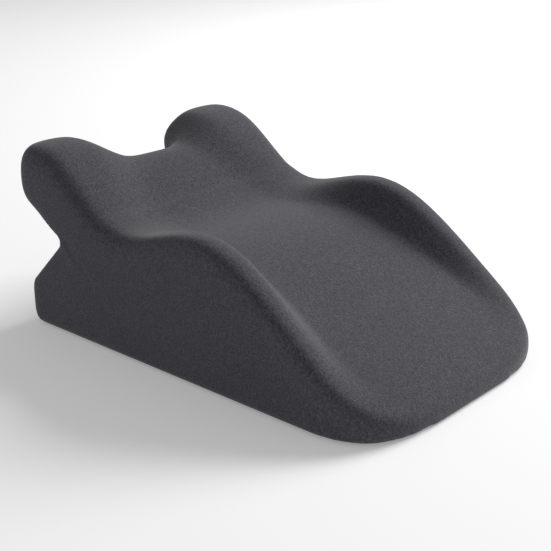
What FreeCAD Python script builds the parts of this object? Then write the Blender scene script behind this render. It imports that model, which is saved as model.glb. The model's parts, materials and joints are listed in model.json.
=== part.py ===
"""Neck traction pillow: a moulded foam block in a zipped knit cover.

Frame: +Z up, toe of the ramp at -Y, head lobes at +Y, origin at the centre of the base.
The block is one smooth skin over cross-sections at stations along its length.
A V notch under the lobes lets the head rest flex down about the bottom of the notch.
All lengths are in millimetres.
"""
import FreeCAD
import Part
import Sketcher
import math
import os

Vector = FreeCAD.Vector

DIMENSIONS = {
    # overall block
    "block_length": 260.0,
    "block_width": 164.0,
    "edge_round": 4.0,
    # toe
    "nose_height": 8.0,
    "nose_drop": 3.0,
    "nose_drop_length": 5.0,
    "toe_place": 15.0,
    "toe_height": 17.5,
    "toe_corner_length": 37.0,
    "toe_corner_width": 56.0,
    # ramp, neck hump and saddle: place along the length, side ridge height, channel floor height
    "ramp_low_place": 45.0,
    "ramp_low_ridge": 40.0,
    "ramp_low_floor": 33.5,
    "ramp_mid_place": 80.0,
    "ramp_mid_ridge": 66.5,
    "ramp_mid_floor": 51.0,
    "ramp_top_place": 110.0,
    "ramp_top_ridge": 79.5,
    "ramp_top_floor": 62.0,
    "hump_place": 138.5,
    "hump_ridge": 77.0,
    "neck_place": 149.0,
    "neck_floor": 64.5,
    "saddle_place": 182.5,
    "saddle_ridge": 71.5,
    "saddle_floor": 67.0,
    # head lobes and the cradle between them
    "lobe_rise_place": 208.0,
    "lobe_rise_ridge": 89.0,
    "cradle_rise_floor": 83.0,
    "lobe_crest_place": 233.0,
    "lobe_crest_ridge": 105.5,
    "lobe_back_place": 247.5,
    "lobe_back_ridge": 106.5,
    "cradle_crest_place": 228.0,
    "cradle_crest_floor": 91.5,
    "cradle_back_place": 244.0,
    "cradle_back_floor": 85.0,
    "cradle_end_floor": 72.0,
    "rear_drop": 9.0,
    "rear_corner_length": 11.0,
    "rear_corner_width": 15.0,
    # bay between the lobes, seen from above
    "bay_mouth_half": 32.0,
    "bay_end_half": 24.0,
    "bay_end_place": 236.0,
    "bay_mouth_round": 9.0,
    "bay_end_round": 18.0,
    # side ridges: crest radius, flat crest width, and the share of the width that is channel floor
    "crest_radius_toe": 5.0,
    "crest_radius_neck": 7.5,
    "crest_radius_lobe": 11.5,
    "crest_flat_toe": 1.0,
    "crest_flat_neck": 6.0,
    "crest_flat_lobe": 19.0,
    "channel_share_toe": 0.76,
    "channel_share_neck": 0.45,
    "channel_share_rise": 0.42,
    "channel_share_lobe": 0.28,
    # rear outline: lip, notch and lobe underside
    "lip_place": 251.0,
    "lip_low": 6.0,
    "lip_high": 24.0,
    "lip_low_round": 9.0,
    "lip_high_round": 8.0,
    "lip_corner_round": 6.0,
    "notch_place": 218.5,
    "notch_height": 56.0,
    "notch_round": 2.0,
    "lobe_under_place": 261.5,
    "lobe_under_height": 78.5,
    "lobe_under_round": 27.0,
    # flex plane through the bottom of the notch
    "flex_lean": 60.0,
    "flex_gap": 0.8,
    # cover, panel and foam
    "cover_thickness": 1.6,
    "foam_inset": 2.0,
    "panel_inset": 5.5,
    "panel_toe_round": 38.0,
    "panel_rear_round": 8.0,
    "seam_start": 3.0,
    "seam_width": 3.0,
    "seam_thickness": 0.3,
    # zip on the rear lip
    "zip_height": 15.2,
    "zip_half_length": 62.0,
    "slot_half_height": 4.3,
    "slot_overrun": 3.0,
    "tape_overrun": 4.0,
    "tape_gap": 0.9,
    "tape_half_height": 5.4,
    "tape_thickness": 0.6,
    "coil_gap": 0.05,
    "coil_width": 2.05,
    "coil_thickness": 1.5,
    "coil_spread": 0.8,
    "relief_depth": 1.4,
    "relief_half_height": 5.7,
    "slider_length": 8.5,
    "slider_place": 57.0,
    "slider_tail_width": 5.8,
    "slider_nose_width": 7.8,
    "plate_thickness": 0.8,
    "flange_thickness": 0.6,
    "running_gap": 0.2,
    "divider_width": 1.4,
    "divider_start": 0.3,
    "divider_full": 1.5,
    "divider_end": 3.6,
    "stop_length": 1.5,
    "stop_thickness": 1.7,
    "crown_length": 4.4,
    "crown_width": 1.2,
    "crown_height": 2.4,
    "crown_eye_length": 1.5,
    "crown_eye_height": 1.3,
    "pull_length": 24.0,
    "pull_width": 5.4,
    "pull_thickness": 1.0,
    "pull_bar": 1.0,
    "pull_rise": 1.0,
    "pull_window_length": 3.0,
    "pull_window_width": 2.4,
    "pull_heel": 0.8,
    "pull_hole": 2.6,
    "label_width": 14.0,
    "label_height": 9.4,
    "label_place": -44.0,
    "label_thickness": 0.3,
}

doc = FreeCAD.newDocument("NeckTractionPillow")
sheet = doc.addObject("Spreadsheet::Sheet", "Dimensions")
for row, (alias, number) in enumerate(DIMENSIONS.items(), start=1):
    sheet.set("A%d" % row, alias)
    sheet.set("B%d" % row, str(number))
    sheet.setAlias("B%d" % row, alias)
doc.recompute()


def size(alias):
    """A driving dimension, read from the sheet."""
    return float(sheet.get(alias))


HALF_LENGTH = size("block_length") / 2
BEYOND = 30.0          # how far cutting tools reach past the block
SUB_PARTS = []


# ---------------------------------------------------------------- shape of the foam block

def smooth(t):
    """Ease from 0 to 1 with level ends."""
    t = min(max(t, 0.0), 1.0)
    return t * t * (3 - 2 * t)


def quarter(t, power=2.0):
    """Rise from 0 to 1 like a quarter of an ellipse (or a fuller superellipse)."""
    t = min(max(t, 0.0), 1.0)
    return (1 - (1 - t) ** power) ** (1 / power)


def height_line(places, heights):
    """A smooth curve of height over place; the parameter is the place itself."""
    curve = Part.BSplineCurve()
    points = [Vector(0, y, z) for y, z in zip(places, heights)]
    curve.interpolate(Points=points, Parameters=places)
    return curve


def blend_line(places, values):
    """Linear steps between values, held level past the ends."""
    def value(place):
        if place <= places[0]:
            return values[0]
        for a, b, u, v in zip(places, places[1:], values, values[1:]):
            if place <= b:
                return u + (v - u) * smooth((place - a) / (b - a))
        return values[-1]
    return value


RIDGE_NAMES = [
    ("toe_place", "toe_height"), ("ramp_low_place", "ramp_low_ridge"),
    ("ramp_mid_place", "ramp_mid_ridge"), ("ramp_top_place", "ramp_top_ridge"),
    ("hump_place", "hump_ridge"), ("saddle_place", "saddle_ridge"),
    ("lobe_rise_place", "lobe_rise_ridge"), ("lobe_crest_place", "lobe_crest_ridge"),
    ("lobe_back_place", "lobe_back_ridge"),
]
FLOOR_NAMES = [
    ("toe_place", "toe_height"), ("ramp_low_place", "ramp_low_floor"),
    ("ramp_mid_place", "ramp_mid_floor"), ("ramp_top_place", "ramp_top_floor"),
    ("neck_place", "neck_floor"), ("saddle_place", "saddle_floor"),
    ("lobe_rise_place", "cradle_rise_floor"), ("cradle_crest_place", "cradle_crest_floor"),
    ("cradle_back_place", "cradle_back_floor"), ("block_length", "cradle_end_floor"),
]
RIDGE_TAIL_DROP = 6.0   # the ridge line is carried this far down, just past the rear
RIDGE_TAIL = 6.0

ridge_line = height_line(
    [0.0] + [size(p) for p, _ in RIDGE_NAMES] + [size("block_length") + RIDGE_TAIL],
    [size("nose_height")] + [size(h) for _, h in RIDGE_NAMES]
    + [size("lobe_back_ridge") - RIDGE_TAIL_DROP])
floor_line = height_line(
    [0.0] + [size(p) for p, _ in FLOOR_NAMES],
    [size("nose_height")] + [size(h) for _, h in FLOOR_NAMES])

CREST_PLACES = [20.0, 100.0, size("saddle_place"), size("lobe_crest_place")]


def along_crest(toe, neck, lobe, saddle_share):
    """A crest property over the length; at the saddle it lies between neck and lobe."""
    saddle = neck + (lobe - neck) * saddle_share
    return blend_line(CREST_PLACES, [toe, neck, saddle, lobe])


crest_radius = along_crest(size("crest_radius_toe"), size("crest_radius_neck"),
                           size("crest_radius_lobe"), 0.3)
crest_flat = along_crest(size("crest_flat_toe"), size("crest_flat_neck"),
                         size("crest_flat_lobe"), 0.0)
channel_share = blend_line(CREST_PLACES[:3] + [size("lobe_rise_place"), CREST_PLACES[3]], [
    size("channel_share_toe"), size("channel_share_toe"), size("channel_share_neck"),
    size("channel_share_rise"), size("channel_share_lobe")])


def ridge_and_floor(place):
    """Heights of the side ridge and of the channel floor at one station."""
    nose = 1 - quarter(place / size("nose_drop_length"))
    rear = 1 - quarter((size("block_length") - place) / size("rear_drop"))
    drop = size("nose_drop") * nose + size("rear_drop") * rear
    return ridge_line.value(place).z - drop, floor_line.value(place).z - drop


def half_width(place):
    """Half the width of the block at one station, with its corners rounded in plan."""
    toe_fullness = 2.5
    toe = 1 - quarter(place / size("toe_corner_length"), toe_fullness)
    rear = 1 - quarter((size("block_length") - place) / size("rear_corner_length"))
    return (size("block_width") / 2 - size("toe_corner_width") * toe
            - size("rear_corner_width") * rear)


def slant(place, which):
    """How much longer a vertical gap is than the thickness it gives, on the sloping top.

    At the toe the station itself moves in, so there the gap is the plain thickness.
    """
    step = 1.0
    low = max(place - step, 0.0)
    high = min(place + step, size("block_length"))
    slope = (ridge_and_floor(high)[which] - ridge_and_floor(low)[which]) / (high - low)
    fade = min(place / size("nose_drop_length"), 1.0)
    return 1 + fade * (min(math.sqrt(1 + slope * slope), MOST_SLANT) - 1)


MOST_SLANT = 1.6
RISE_SHARES = [0.17, 0.33, 0.5, 0.67, 0.83]
WALL_SHARES = [0.15, 0.4, 0.65, 0.85]
ROUND_ANGLES = [22.5, 45.0, 67.5, 90.0]
LEAST_ROUND = 1.0
CREST_OF_HEIGHT = 0.8   # most of the height that a crest round takes
EDGE_OF_WALL = 0.7      # most of the wall under it that the base edge takes


def half_section(place, inset, bottom):
    """Control points (x, z) of the right half of a cross-section, from the top centre out."""
    ridge, floor = ridge_and_floor(place)
    ridge -= inset * slant(place, 0)
    floor = min(floor - inset * slant(place, 1), ridge)
    wall = half_width(place) - inset
    tall = ridge - bottom
    radius = min(max(crest_radius(place) - inset, LEAST_ROUND), CREST_OF_HEIGHT * tall)
    edge = max(size("edge_round") - inset, LEAST_ROUND)
    base_round = min(edge, EDGE_OF_WALL * (tall - radius))
    crest = wall - radius
    crest_start = crest - crest_flat(place)
    channel = channel_share(place) * crest_start
    points = [(0.0, floor), (channel / 2, floor), (channel, floor)]
    for share in RISE_SHARES:
        x = channel + (crest_start - channel) * share
        points.append((x, floor + (ridge - floor) * smooth(share)))
    points += [(crest_start, ridge), (crest, ridge)]
    for angle in ROUND_ANGLES:
        turn = math.radians(angle)
        points.append((crest + radius * math.sin(turn), ridge - radius * (1 - math.cos(turn))))
    wall_top = ridge - radius
    wall_low = bottom + base_round
    for share in WALL_SHARES:
        points.append((wall, wall_top + (wall_low - wall_top) * share))
    for angle in [0.0] + ROUND_ANGLES:
        turn = math.radians(angle)
        points.append((wall - base_round * (1 - math.cos(turn)),
                       wall_low - base_round * math.sin(turn)))
    return points


END_FADE = 25.0         # over this length at each end the stations move in as well


def section_poles(place, inset, bottom):
    """Control points of one station, left to right; an inset block's ends move in as well."""
    half = half_section(place, inset, bottom)
    to_rear = size("block_length") - place
    shift = max(0.0, 1 - place / END_FADE) ** 2 - max(0.0, 1 - to_rear / END_FADE) ** 2
    y = place - HALF_LENGTH + inset * shift
    return [Vector(x, y, z) for x, z in [(-x, z) for x, z in reversed(half)] + half[1:]]


def stations():
    """Places along the length, crowded where the toe and the rear turn over."""
    toe = size("toe_place")
    rear = size("rear_corner_length")
    length = size("block_length")
    steps = 7
    turns = [math.radians(90.0 * i / steps) for i in range(steps + 1)]
    front = [toe * (1 - math.cos(turn)) for turn in turns]
    back = [length - rear * (1 - math.cos(turn)) for turn in reversed(turns)]
    middle_count = 22
    gap = (back[0] - front[-1]) / middle_count
    middle = [front[-1] + gap * i for i in range(1, middle_count)]
    return front + middle + back


def cubic_knots(places):
    """Clamped cubic knots at the poles' own places, so that the parameter runs evenly."""
    knots = [places[0]] + list(places[2:-2]) + [places[-1]]
    return knots, [4] + [1] * (len(knots) - 2) + [4]


def section_places():
    """Distances of the poles along a cross-section in the middle of the block."""
    poles = section_poles(HALF_LENGTH, 0.0, 0.0)
    places = [0.0]
    for start, end in zip(poles, poles[1:]):
        places.append(places[-1] + start.distanceToPoint(end))
    return places


MIDDLE_PATCHES = 9
CHANNEL_PATCHES = 5


def lengthwise_breaks():
    """Where the skin is split along its length: in each turned-over end, and evenly between."""
    toe = size("toe_place")
    rear = size("block_length") - size("rear_corner_length")
    middle = [toe + (rear - toe) * i / MIDDLE_PATCHES for i in range(MIDDLE_PATCHES + 1)]
    return [0.0, toe / 2] + middle + [size("block_length")]


def section_breaks(places):
    """Where the skin is split across: base edge, wall, crest, inner slope, channel."""
    edge = len(ROUND_ANGLES)
    wall = edge + len(WALL_SHARES) + 1
    crest = wall + len(ROUND_ANGLES) + 1
    slope = crest + len(RISE_SHARES) + 1
    left = [places[i] for i in (0, edge // 2, edge, (edge + wall) // 2, wall, crest, slope)]
    middle = places[(len(places) - 1) // 2]
    channel = [left[-1] + (middle - left[-1]) * i / CHANNEL_PATCHES for i in range(1, CHANNEL_PATCHES)]
    half = left + channel
    return half + [middle] + [2 * middle - place for place in reversed(half)]


def patches(skin, lengthwise, across):
    """Faces of the skin between neighbouring breaks."""
    faces = []
    for u_start, u_end in zip(lengthwise, lengthwise[1:]):
        for v_start, v_end in zip(across, across[1:]):
            patch = skin.copy()
            patch.segment(u_start, u_end, v_start, v_end)
            faces.append(patch.toShape())
    return faces


def pieces_of(curve, breaks):
    """Edges of a curve between neighbouring breaks."""
    return [curve.toShape(start, end) for start, end in zip(breaks, breaks[1:])]


def block(inset, bottom):
    """The whole block before the rear is cut, inset by a distance, standing on a height."""
    lengthwise, across = stations(), section_places()
    poles = [section_poles(place, inset, bottom) for place in lengthwise]
    u_knots, u_mults = cubic_knots(lengthwise)
    v_knots, v_mults = cubic_knots(across)
    skin = Part.BSplineSurface()
    skin.buildFromPolesMultsKnots(poles, u_mults, v_mults, u_knots, v_knots, False, False, 3, 3)
    lengthwise, across = lengthwise_breaks(), section_breaks(across)
    toe_arch = pieces_of(skin.uIso(u_knots[0]), across)
    rear_arch = pieces_of(skin.uIso(u_knots[-1]), across)
    sides = pieces_of(skin.vIso(v_knots[0]), lengthwise) + pieces_of(
        skin.vIso(v_knots[-1]), lengthwise)
    toe_line = Part.makeLine(poles[0][0], poles[0][-1])
    rear_line = Part.makeLine(poles[-1][0], poles[-1][-1])
    faces = patches(skin, lengthwise, across) + [
        Part.Face(Part.Wire(Part.sortEdges(toe_arch + [toe_line])[0])),
        Part.Face(Part.Wire(Part.sortEdges(rear_arch + [rear_line])[0])),
        Part.Face(Part.Wire(Part.sortEdges(sides + [rear_line, toe_line])[0])),
    ]
    shell = Part.makeShell(faces)
    shell.sewShape()
    solid = Part.makeSolid(shell)
    if solid.Volume < 0:
        solid.reverse()
    return solid


# ---------------------------------------------------------------- rear outline and cuts

def offset_corners(corners, distance):
    """Move an open chain of flat (u, v) corners to its left by a distance."""
    lines = []
    for (u0, v0), (u1, v1) in zip(corners, corners[1:]):
        run = math.hypot(u1 - u0, v1 - v0)
        along = ((u1 - u0) / run, (v1 - v0) / run)
        lines.append((u0 - along[1] * distance, v0 + along[0] * distance, along))
    moved = [lines[0][:2]]
    for (u0, v0, a), (u1, v1, b) in zip(lines, lines[1:]):
        cross = a[0] * b[1] - a[1] * b[0]
        reach = ((u1 - u0) * b[1] - (v1 - v0) * b[0]) / cross
        moved.append((u0 + a[0] * reach, v0 + a[1] * reach))
    along = lines[-1][2]
    moved.append((corners[-1][0] - along[1] * distance, corners[-1][1] + along[0] * distance))
    return moved


def rounded_edges(points, radii):
    """Straight edges through the points, joined by tangent arcs."""
    edges = []
    start = points[0]
    for before, corner, after, radius in zip(points, points[1:], points[2:], radii):
        back = (before - corner).normalize()
        ahead = (after - corner).normalize()
        half_angle = back.getAngle(ahead) / 2
        reach = radius / math.tan(half_angle)
        arc_start = corner + back * reach
        arc_end = corner + ahead * reach
        middle_way = (back + ahead).normalize()
        arc_middle = corner + middle_way * (radius / math.sin(half_angle) - radius)
        edges.append(Part.makeLine(start, arc_start))
        edges.append(Part.Arc(arc_start, arc_middle, arc_end).toShape())
        start = arc_end
    edges.append(Part.makeLine(start, points[-1]))
    return edges


def face_behind(points, radii, corners_behind):
    """Flat face between a rounded chain of points and the straight lines behind it."""
    edges = rounded_edges(points, radii)
    outer = [points[-1]] + corners_behind + [points[0]]
    edges += [Part.makeLine(a, b) for a, b in zip(outer, outer[1:])]
    return Part.Face(Part.Wire(edges))


def rear_cutter(inset):
    """Everything behind the rear outline: lip, notch and lobe underside."""
    lip = size("lip_place")
    slope_back = 10.0
    top = size("lobe_back_ridge") + BEYOND
    corners = [
        (lip - slope_back, size("lip_low") - slope_back),
        (lip, size("lip_low")),
        (lip, size("lip_high")),
        (size("notch_place"), size("notch_height")),
        (size("lobe_under_place"), size("lobe_under_height")),
        (size("lobe_under_place"), top),
    ]
    radii = [
        size("lip_low_round") - inset,
        size("lip_high_round") - inset,
        size("notch_round") + inset,
        size("lobe_under_round") - inset,
    ]
    corners = [(y - HALF_LENGTH, z) for y, z in corners]
    points = [Vector(0, y, z) for y, z in offset_corners(corners, inset)]
    far = HALF_LENGTH + BEYOND
    face = face_behind(points, radii, [Vector(0, far, points[-1].z), Vector(0, far, points[0].z)])
    wide = size("block_width") + 2 * BEYOND
    face.translate(Vector(-wide / 2, 0, 0))
    return face.extrude(Vector(wide, 0, 0))


def bay_cutter(inset):
    """The bay between the lobes, a rounded U seen from above, cut down to the notch."""
    off_rear = 0.4
    rear = HALF_LENGTH + off_rear
    mouth = size("bay_mouth_half")
    end = size("bay_end_half")
    end_y = size("bay_end_place") - HALF_LENGTH
    side = mouth + BEYOND
    corners = [(side, rear), (mouth, rear), (end, end_y),
               (-end, end_y), (-mouth, rear), (-side, rear)]
    mouth_round = size("bay_mouth_round") - inset
    end_round = size("bay_end_round") + inset
    radii = [mouth_round, end_round, end_round, mouth_round]
    points = [Vector(x, y, 0) for x, y in offset_corners(corners, inset)]
    far = HALF_LENGTH + BEYOND
    face = face_behind(points, radii, [Vector(-side, far, 0), Vector(side, far, 0)])
    low = size("notch_height") - off_rear
    face.translate(Vector(0, 0, low))
    return face.extrude(Vector(0, 0, size("lobe_back_ridge") + BEYOND - low))


def lip_corner_cutters(inset):
    """Round the two standing corners of the rear lip in plan, a shade off tangent."""
    radius = size("lip_corner_round")
    off_tangent = 0.2
    tall = size("notch_height") + BEYOND / 3
    cutters = []
    for side in (-1, 1):
        centre = Vector(side * (size("block_width") / 2 - radius + off_tangent),
                        size("lip_place") - HALF_LENGTH - radius + off_tangent, -BEYOND / 3)
        corner = Part.makeBox(BEYOND, BEYOND, tall, centre if side > 0
                              else centre - Vector(BEYOND, 0, 0))
        cutters.append(corner.cut(Part.makeCylinder(radius - inset, tall, centre)))
    return cutters


def cut_block(inset, bottom):
    """The block with its rear outline, inset by a distance."""
    cutters = [rear_cutter(inset), bay_cutter(inset)] + lip_corner_cutters(inset)
    return block(inset, bottom).cut(cutters)


def flex_halves():
    """Two large solids, below and above the flex plane, a gap apart."""
    reach = size("block_length") * 2
    lean = math.radians(size("flex_lean"))
    along = Vector(0, -math.sin(lean), math.cos(lean))
    upward = Vector(0, math.cos(lean), math.sin(lean))
    pivot = flex_pivot()
    halves = []
    for side in (-1, 1):
        start = pivot + upward * (side * size("flex_gap") / 2)
        corners = [start - along * reach, start + along * reach]
        corners += [corners[1] + upward * (side * reach), corners[0] + upward * (side * reach)]
        corners = [Vector(-reach / 2, p.y, p.z) for p in corners + corners[:1]]
        face = Part.Face(Part.makePolygon(corners))
        halves.append(face.extrude(Vector(reach, 0, 0)))
    return halves


def flex_pivot():
    """Bottom of the notch's round, where the head rest hinges."""
    return Vector(0, notch_floor()[0], notch_floor()[1])


def notch_floor():
    """Deepest point of the rounded notch (y, z)."""
    slope = Vector(0, size("lip_place") - size("notch_place"),
                   size("lip_high") - size("notch_height")).normalize()
    under = Vector(0, size("lobe_under_place") - size("notch_place"),
                   size("lobe_under_height") - size("notch_height")).normalize()
    half_angle = slope.getAngle(under) / 2
    inward = (slope + under).normalize()
    depth = size("notch_round") / math.sin(half_angle) - size("notch_round")
    return (size("notch_place") - HALF_LENGTH + inward.y * depth,
            size("notch_height") + inward.z * depth)


# ---------------------------------------------------------------- document helpers

def add_shape(name, shape):
    """A sub-part whose shape is worked out from the sheet in code."""
    feature = doc.addObject("Part::Feature", name)
    feature.Label = name
    feature.Shape = shape
    feature.Placement = FreeCAD.Placement()
    SUB_PARTS.append(feature)
    return feature


def largest_solid(shape):
    """The main solid of a cut, without slivers."""
    return max(shape.Solids, key=lambda solid: solid.Volume)


def cell(expression):
    """Write sheet aliases as the document names them: [alias] becomes Dimensions.alias."""
    return expression.replace("[", "Dimensions.").replace("]", "")


def bind(item, **expressions):
    """Bind properties to the sheet; a double underscore stands for a dot in the path."""
    for path, expression in expressions.items():
        item.setExpression(path.replace("__", "."), cell(expression))


def add_box(name, length, width, height, x, y, z):
    """A box bound to the sheet: its sizes, then its lowest corner."""
    box = doc.addObject("Part::Box", name)
    bind(box, Length=length, Width=width, Height=height,
         Placement__Base__x=x, Placement__Base__y=y, Placement__Base__z=z)
    return box


def keep(item, name):
    """Mark a document object as a sub-part to be written out."""
    item.Label = name
    SUB_PARTS.append(item)
    return item


def plane_of(body, role):
    """An origin plane of a body, by its role."""
    return next(f for f in body.Origin.OriginFeatures if f.Role == role)


def new_sketch(body, name, role):
    """A sketch on one of its own body's origin planes."""
    sketch = body.newObject("Sketcher::SketchObject", name)
    sketch.AttachmentSupport = (plane_of(body, role), [""])
    sketch.MapMode = "FlatFace"
    return sketch


# ---------------------------------------------------------------- foam, cover and base panel

def base_panel():
    """Flat fabric panel closing the base, seamed in a little way from the edge."""
    body = doc.addObject("PartDesign::Body", "base_panel")
    sketch = new_sketch(body, "base_panel_outline", "XY_Plane")
    rounded_outline(sketch, "panel_inset", 0.0)
    pad = body.newObject("PartDesign::Pad", "base_panel_pad")
    pad.Profile = sketch
    bind(pad, Length="[cover_thickness]")
    return keep(body, "base_panel")


def rounded_outline(sketch, inset_alias, grow):
    """Outline of the base: straight sides, wide rounds at the toe, small ones at the lip."""
    inset = size(inset_alias) - grow
    side = size("block_width") / 2 - inset
    toe = -HALF_LENGTH + inset
    rear = size("lip_place") - HALF_LENGTH - inset
    toe_round = size("panel_toe_round") + grow
    rear_round = size("panel_rear_round") + grow
    corners = [
        (side - toe_round, toe + toe_round, toe_round, 1.5 * math.pi, 2 * math.pi),
        (side - rear_round, rear - rear_round, rear_round, 0.0, 0.5 * math.pi),
        (-side + rear_round, rear - rear_round, rear_round, 0.5 * math.pi, math.pi),
        (-side + toe_round, toe + toe_round, toe_round, math.pi, 1.5 * math.pi),
    ]
    arcs = []
    for x, y, radius, start, end in corners:
        circle = Part.Circle(Vector(x, y, 0), Vector(0, 0, 1), radius)
        arcs.append(sketch.addGeometry(Part.ArcOfCircle(circle, start, end), False))
    first = 1
    second = 2
    for arc, following in zip(arcs, arcs[1:] + arcs[:1]):
        start = sketch.getPoint(arc, second)
        end = sketch.getPoint(following, first)
        line = sketch.addGeometry(Part.LineSegment(start, end), False)
        sketch.addConstraint(Sketcher.Constraint("Tangent", arc, second, line, first))
        sketch.addConstraint(Sketcher.Constraint("Tangent", line, second, following, first))
    sketch.addConstraint(Sketcher.Constraint("Equal", arcs[0], arcs[3]))
    sketch.addConstraint(Sketcher.Constraint("Equal", arcs[1], arcs[2]))
    lines = [4, 5, 6, 7]
    sketch.addConstraint(Sketcher.Constraint("Vertical", lines[0]))
    sketch.addConstraint(Sketcher.Constraint("Horizontal", lines[1]))
    sketch.addConstraint(Sketcher.Constraint("Vertical", lines[2]))
    sketch.addConstraint(Sketcher.Constraint("Horizontal", lines[3]))
    half = "[block_width] / 2 - ([%s] - %g)" % (inset_alias, grow)
    set_dimension(sketch, "toe_round", "Radius", (arcs[0],), toe_round,
                  "[panel_toe_round] + %g" % grow)
    set_dimension(sketch, "rear_round", "Radius", (arcs[1],), rear_round,
                  "[panel_rear_round] + %g" % grow)
    set_dimension(sketch, "right", "DistanceX", (-1, 1, lines[0], first), side, half)
    set_dimension(sketch, "left", "DistanceX", (lines[2], first, -1, 1), side, half)
    set_dimension(sketch, "rear", "DistanceY", (-1, 1, lines[1], first), rear,
                  "[lip_place] - [block_length] / 2 - ([%s] - %g)" % (inset_alias, grow))
    set_dimension(sketch, "toe", "DistanceY", (lines[3], first, -1, 1), -toe,
                  "[block_length] / 2 - ([%s] - %g)" % (inset_alias, grow))


def set_dimension(sketch, name, kind, where, value, expression):
    """A named dimension of a sketch, bound to the sheet."""
    index = sketch.addConstraint(Sketcher.Constraint(kind, *where, value))
    sketch.renameConstraint(index, name)
    sketch.setExpression("Constraints." + name, cell(expression))


def number(expression):
    """Value of a sheet expression."""
    return float(sheet.evalExpression(expression.replace("[", "").replace("]", "")))


def seam_allowance():
    """Sewn edges of cover and panel, turned in along the base seam."""
    body = doc.addObject("PartDesign::Body", "seam_allowance")
    outer = new_sketch(body, "seam_outer_outline", "XY_Plane")
    rounded_outline(outer, "panel_inset", -size("seam_start"))
    bind(outer, AttachmentOffset__Base__z="[cover_thickness]")
    pad = body.newObject("PartDesign::Pad", "seam_pad")
    pad.Profile = outer
    bind(pad, Length="[seam_thickness]")
    doc.recompute()
    inner = new_sketch(body, "seam_inner_outline", "XY_Plane")
    rounded_outline(inner, "panel_inset", -size("seam_start") - size("seam_width"))
    bind(inner, AttachmentOffset__Base__z="[cover_thickness]")
    pocket = body.newObject("PartDesign::Pocket", "seam_pocket")
    pocket.Profile = inner
    pocket.Reversed = True
    bind(pocket, Length="[seam_thickness]")
    return keep(body, "seam_allowance")


def lip_face():
    """Y of the outer face of the rear lip."""
    return size("lip_place") - HALF_LENGTH


def add_cover():
    """Knit cover, one sewn piece that flexes at the plane through the notch."""
    thickness = size("cover_thickness")
    skin = cut_block(0.0, 0.0).cut(cut_block(thickness, thickness))
    panel = doc.getObject("base_panel").Shape
    slot_length = 2 * (size("zip_half_length") + size("slot_overrun"))
    slot_height = 2 * size("slot_half_height")
    slot_depth = 3 * thickness
    slot = Part.makeBox(slot_length, slot_depth, slot_height, Vector(
        -slot_length / 2, lip_face() - slot_depth / 2, size("zip_height") - slot_height / 2))
    skin = skin.cut([panel, slot])
    lower, upper = flex_halves()
    add_shape("cover_body", largest_solid(skin.common(lower)))
    add_shape("cover_head_rest", largest_solid(skin.common(upper)))


def add_foam():
    """Memory foam block, one moulding that flexes at the plane through the notch."""
    inset = size("foam_inset")
    foam = cut_block(inset, inset)
    length = 2 * (size("zip_half_length") + size("tape_overrun") + size("running_gap"))
    height = 2 * size("relief_half_height")
    face = lip_face() - inset
    relief = Part.makeBox(length, BEYOND, height, Vector(
        -length / 2, face - size("relief_depth"), size("zip_height") - height / 2))
    foam = foam.cut(relief)
    lower, upper = flex_halves()
    add_shape("foam_core", largest_solid(foam.common(lower)))
    add_shape("foam_head_rest", largest_solid(foam.common(upper)))


# ---------------------------------------------------------------- zip

LIP = "([lip_place] - [block_length] / 2)"
TAPE_BACK = "(%s - [cover_thickness] - [tape_thickness])" % LIP
TAPE_FRONT = "(%s - [cover_thickness])" % LIP
COIL_FRONT = "(%s + [coil_thickness])" % TAPE_FRONT
PLATE_BACK = "(%s + [running_gap])" % COIL_FRONT
PLATE_FRONT = "(%s + [plate_thickness])" % PLATE_BACK
HINGE_Y = "(%s + [pull_rise])" % PLATE_FRONT
SLIDER_TAIL = "([slider_place] - [slider_length] / 2)"
SLIDER_NOSE = "([slider_place] + [slider_length] / 2)"


def pad_polygon(body, name, corners, back, front):
    """Pad a polygon of (x, z above the zip line) corners from one depth to another."""
    sketch = new_sketch(body, name + "_outline", "XZ_Plane")
    bind(sketch, AttachmentOffset__Base__z="-(%s)" % front,
         AttachmentOffset__Base__y="[zip_height]")
    points = [Vector(number(x), number(z), 0) for x, z in corners]
    lines = []
    for start, end in zip(points, points[1:] + points[:1]):
        lines.append(sketch.addGeometry(Part.LineSegment(start, end), False))
    for line, following in zip(lines, lines[1:] + lines[:1]):
        sketch.addConstraint(Sketcher.Constraint("Coincident", line, 2, following, 1))
    for line, point, (x, z) in zip(lines, points, corners):
        where = (-1, 1, line, 1)
        set_dimension(sketch, "x%d" % line, "DistanceX", where, point.x, x)
        set_dimension(sketch, "z%d" % line, "DistanceY", where, point.y, z)
    pad = body.newObject("PartDesign::Pad", name + "_pad")
    pad.Profile = sketch
    bind(pad, Length="%s - %s" % (front, back))
    doc.recompute()
    return pad


def mirrored(corners, side):
    """The corners as they are for the upper side, or turned over for the lower one."""
    if side > 0:
        return corners
    return [(x, "-(%s)" % z) for x, z in corners]


def zip_tape(name, side):
    """Woven tape behind the edge of the slot, on one side of the zip line."""
    end = "([zip_half_length] + [tape_overrun])"
    body = doc.addObject("PartDesign::Body", name)
    corners = [("-%s" % end, "[tape_gap]"), (end, "[tape_gap]"),
               (end, "[tape_half_height]"), ("-%s" % end, "[tape_half_height]")]
    pad_polygon(body, name, mirrored(corners, side), TAPE_BACK, TAPE_FRONT)
    return keep(body, name)


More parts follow.
